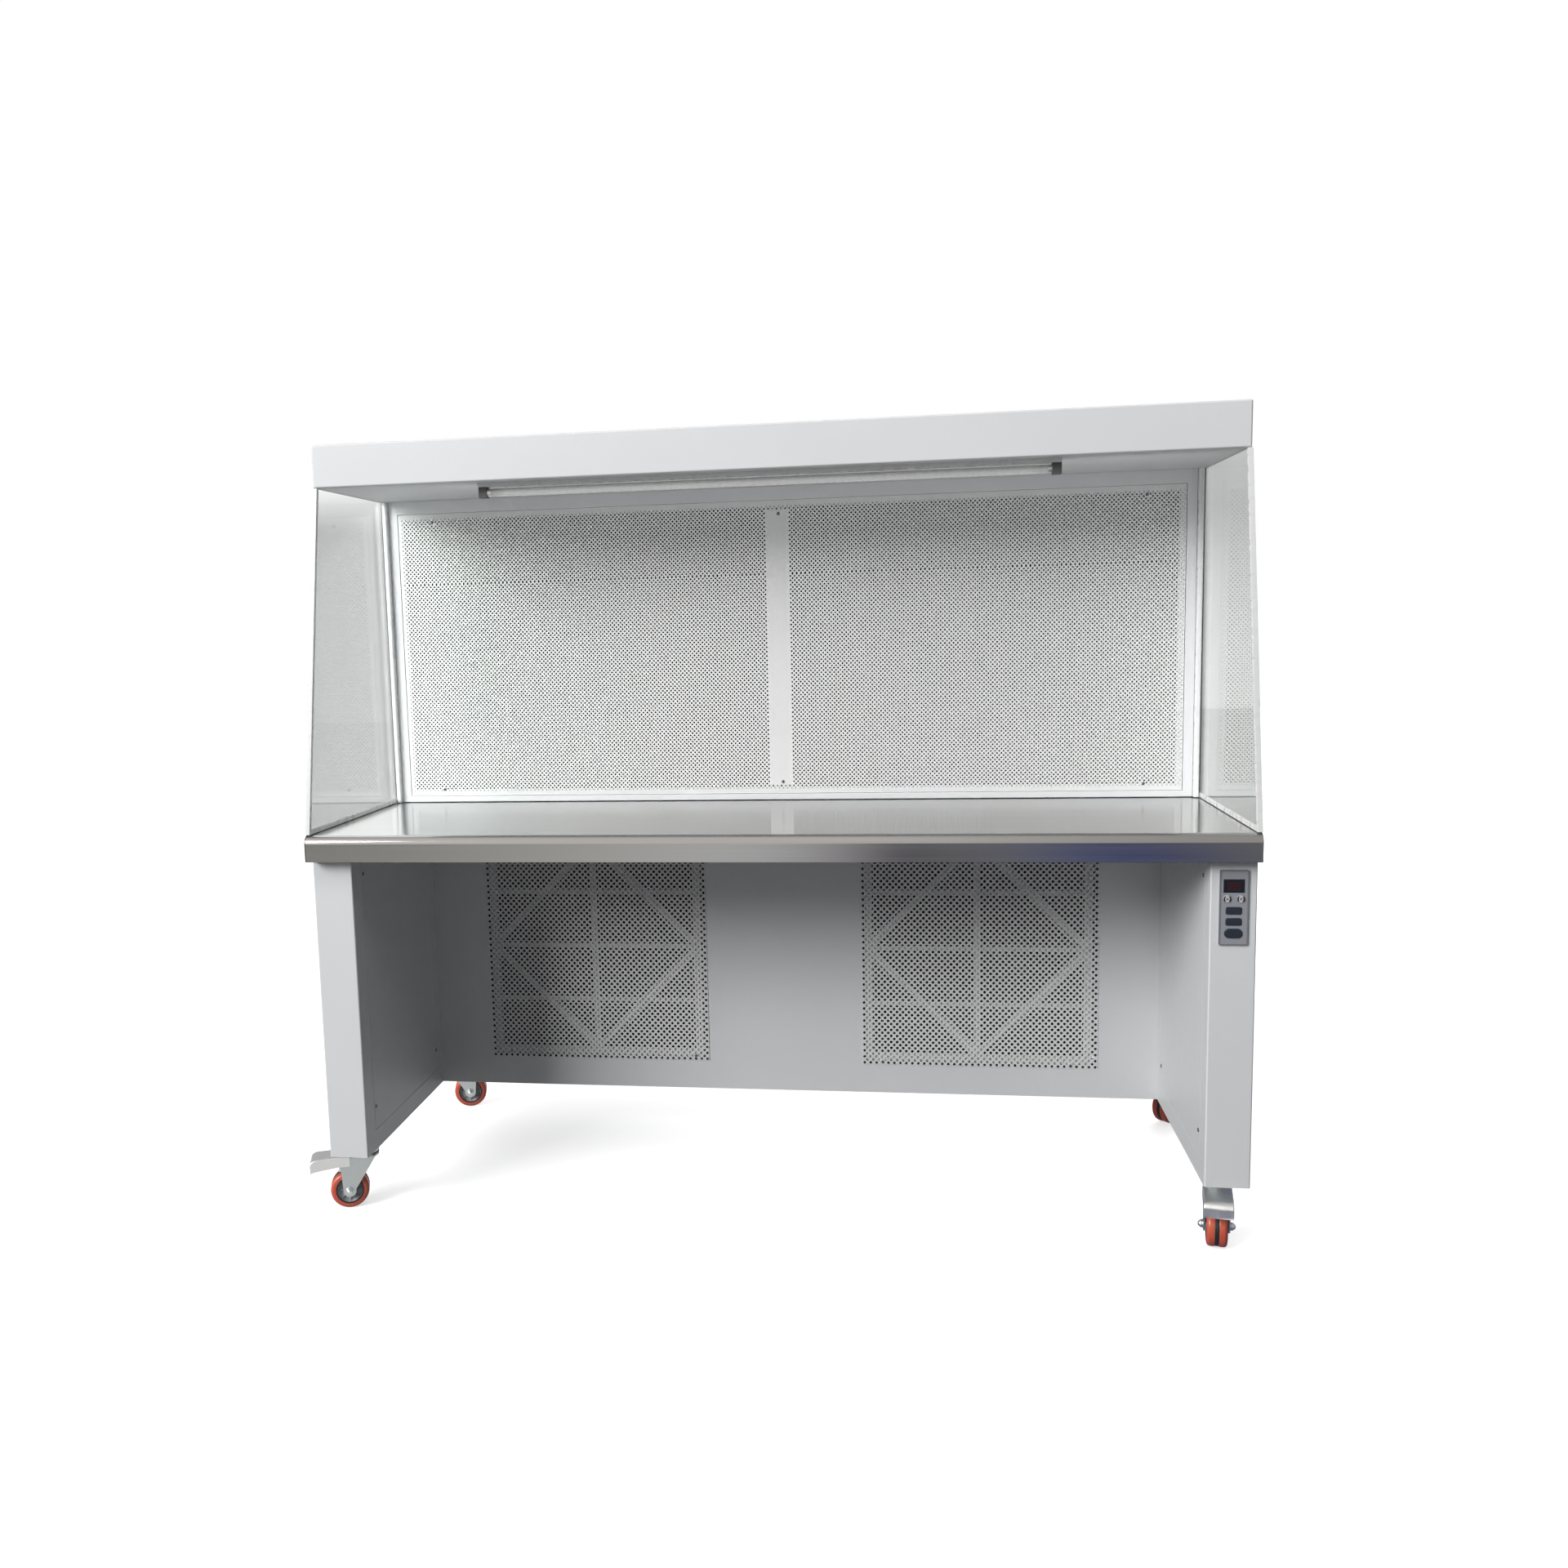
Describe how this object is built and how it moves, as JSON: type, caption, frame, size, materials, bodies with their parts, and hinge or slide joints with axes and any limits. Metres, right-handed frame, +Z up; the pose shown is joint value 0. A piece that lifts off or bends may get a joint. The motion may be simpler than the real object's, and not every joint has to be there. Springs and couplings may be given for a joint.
{
  "type": "laminar flow clean bench",
  "caption": "Wide horizontal laminar flow clean bench: hood with perforated diffuser, side glass, lamp, stainless worktop, leg cabinets with intake grilles, and braked swivel castors.",
  "frame": {"origin": "centre of the footprint on the floor, under the castors", "axes": "+X to the user's right, +Y to the back, +Z up"},
  "size_m": [1.8974, 0.8032, 1.547],
  "materials": {
    "powder_coat": "satin light grey-white powder coat",
    "white_perforated": "satin white powder coat, perforated",
    "white_trim": "gloss white coat",
    "stainless": "fine brushed stainless",
    "frame_steel": "grey primer",
    "galvanised": "galvanised sheet",
    "aluminium": "mill finish",
    "zinc": "bright zinc plating",
    "screw_steel": "dark screw heads",
    "motor": "black motor enamel",
    "filter_card": "white die-cut cardboard",
    "filter_media": "grey pleated media",
    "hepa_paper": "white pleated glass paper",
    "gasket": "black foam gasket",
    "glass": "clear toughened glass",
    "lamp_glass": "white phosphor tube",
    "black_plastic": "black moulded plastic",
    "grey_plastic": "light grey membrane panel",
    "display": "dark red display window",
    "button_plastic": "dark slate button",
    "orange_tread": "orange-red polyurethane"
  },
  "bodies": {
    "root": {"left_leg": "powder_coat", "right_leg": "powder_coat", "access_panels": "powder_coat", "access_panel_screws": "screw_steel", "intake_panel": "powder_coat", "intake_grilles": "white_perforated", "prefilter_frames": "filter_card", "prefilter_media": "filter_media", "grille_screws": "screw_steel", "worktop": "stainless", "worktop_frame": "frame_steel", "hood_shell": "powder_coat", "ceiling_panel": "powder_coat", "cabinet_floor": "powder_coat", "rear_covers": "powder_coat", "rear_cover_screws": "screw_steel", "diffuser_frame": "powder_coat", "diffuser_plate": "white_perforated", "diffuser_screws": "screw_steel", "hepa_frames": "aluminium", "hepa_media": "hepa_paper", "hepa_gaskets": "gasket", "filter_bulkhead": "powder_coat", "side_glass": "glass", "glass_trims": "white_trim", "glass_posts": "white_trim", "lamp_body": "white_trim", "lamp_tube": "lamp_glass", "lamp_sockets": "black_plastic", "control_plate": "grey_plastic", "display_window": "display", "control_box": "grey_plastic", "fan_deck": "galvanised", "fan_housings": "galvanised", "fan_motors": "motor", "power_gland": "black_plastic", "castor_plates": "zinc"},
    "front_left_swivel": {"front_left_fork": "zinc"},
    "front_left_roller": {"front_left_wheel": "black_plastic", "front_left_tread": "orange_tread"},
    "front_left_brake": {"front_left_pedal": "zinc"},
    "front_right_swivel": {"front_right_fork": "zinc"},
    "front_right_roller": {"front_right_wheel": "black_plastic", "front_right_tread": "orange_tread"},
    "front_right_brake": {"front_right_pedal": "zinc"},
    "rear_left_swivel": {"rear_left_fork": "zinc"},
    "rear_left_roller": {"rear_left_wheel": "black_plastic", "rear_left_tread": "orange_tread"},
    "rear_left_brake": {"rear_left_pedal": "zinc"},
    "rear_right_swivel": {"rear_right_fork": "zinc"},
    "rear_right_roller": {"rear_right_wheel": "black_plastic", "rear_right_tread": "orange_tread"},
    "rear_right_brake": {"rear_right_pedal": "zinc"},
    "left_round_button_body": {"left_round_button": "button_plastic"},
    "right_round_button_body": {"right_round_button": "button_plastic"},
    "upper_bar_button_body": {"upper_bar_button": "button_plastic"},
    "middle_bar_button_body": {"middle_bar_button": "button_plastic"},
    "oval_button_body": {"oval_button": "button_plastic"},
    "left_impeller_body": {"left_impeller": "galvanised"},
    "right_impeller_body": {"right_impeller": "galvanised"}
  },
  "joints": [
    {"name": "front_left_swivel_turn", "type": "hinge", "parent": "root", "child": "front_left_swivel", "pos_m": [-0.83361, -0.27964, 0.11], "axis": [0, 0, 1], "continuous": true},
    {"name": "front_left_wheel_roll", "type": "hinge", "parent": "front_left_swivel", "child": "front_left_roller", "pos_m": [-0.86743, -0.29196, 0.039], "axis": [0.342, -0.9397, 0], "continuous": true},
    {"name": "front_left_pedal_press", "type": "hinge", "parent": "front_left_swivel", "child": "front_left_brake", "pos_m": [-0.87495, -0.29469, 0.101], "axis": [0.342, -0.9397, 0], "range_deg": [0, 14]},
    {"name": "front_right_swivel_turn", "type": "hinge", "parent": "root", "child": "front_right_swivel", "pos_m": [0.85039, -0.27964, 0.11], "axis": [0, 0, 1], "continuous": true},
    {"name": "front_right_wheel_roll", "type": "hinge", "parent": "front_right_swivel", "child": "front_right_roller", "pos_m": [0.84414, -0.3151, 0.039], "axis": [0.9848, -0.1736, 0], "continuous": true},
    {"name": "front_right_pedal_press", "type": "hinge", "parent": "front_right_swivel", "child": "front_right_brake", "pos_m": [0.84275, -0.32298, 0.101], "axis": [0.9848, -0.1736, 0], "range_deg": [0, 14]},
    {"name": "rear_left_swivel_turn", "type": "hinge", "parent": "root", "child": "rear_left_swivel", "pos_m": [-0.83361, 0.30336, 0.11], "axis": [0, 0, 1], "continuous": true},
    {"name": "rear_left_wheel_roll", "type": "hinge", "parent": "rear_left_swivel", "child": "rear_left_roller", "pos_m": [-0.79883, 0.31267, 0.039], "axis": [-0.2588, 0.9659, 0], "continuous": true},
    {"name": "rear_left_pedal_press", "type": "hinge", "parent": "rear_left_swivel", "child": "rear_left_brake", "pos_m": [-0.7911, 0.31474, 0.101], "axis": [-0.2588, 0.9659, 0], "range_deg": [0, 14]},
    {"name": "rear_right_swivel_turn", "type": "hinge", "parent": "root", "child": "rear_right_swivel", "pos_m": [0.85039, 0.30336, 0.11], "axis": [0, 0, 1], "continuous": true},
    {"name": "rear_right_wheel_roll", "type": "hinge", "parent": "rear_right_swivel", "child": "rear_right_roller", "pos_m": [0.87585, 0.32881, 0.039], "axis": [-0.7071, 0.7071, 0], "continuous": true},
    {"name": "rear_right_pedal_press", "type": "hinge", "parent": "rear_right_swivel", "child": "rear_right_brake", "pos_m": [0.88151, 0.33447, 0.101], "axis": [-0.7071, 0.7071, 0], "range_deg": [0, 14]},
    {"name": "left_round_button_press", "type": "slide", "parent": "root", "child": "left_round_button_body", "axis": [0, 1, 0], "range_m": [0, 0.0012], "stiffness_N_per_m": 900, "springref_m": -0.0004},
    {"name": "right_round_button_press", "type": "slide", "parent": "root", "child": "right_round_button_body", "axis": [0, 1, 0], "range_m": [0, 0.0012], "stiffness_N_per_m": 900, "springref_m": -0.0004},
    {"name": "upper_bar_button_press", "type": "slide", "parent": "root", "child": "upper_bar_button_body", "axis": [0, 1, 0], "range_m": [0, 0.0012], "stiffness_N_per_m": 900, "springref_m": -0.0004},
    {"name": "middle_bar_button_press", "type": "slide", "parent": "root", "child": "middle_bar_button_body", "axis": [0, 1, 0], "range_m": [0, 0.0012], "stiffness_N_per_m": 900, "springref_m": -0.0004},
    {"name": "oval_button_press", "type": "slide", "parent": "root", "child": "oval_button_body", "axis": [0, 1, 0], "range_m": [0, 0.0012], "stiffness_N_per_m": 900, "springref_m": -0.0004},
    {"name": "left_impeller_spin", "type": "hinge", "parent": "root", "child": "left_impeller_body", "pos_m": [-0.41461, 0.23836, 0.59], "axis": [1, 0, 0], "continuous": true},
    {"name": "right_impeller_spin", "type": "hinge", "parent": "root", "child": "right_impeller_body", "pos_m": [0.43139, 0.23836, 0.59], "axis": [1, 0, 0], "continuous": true}
  ]
}
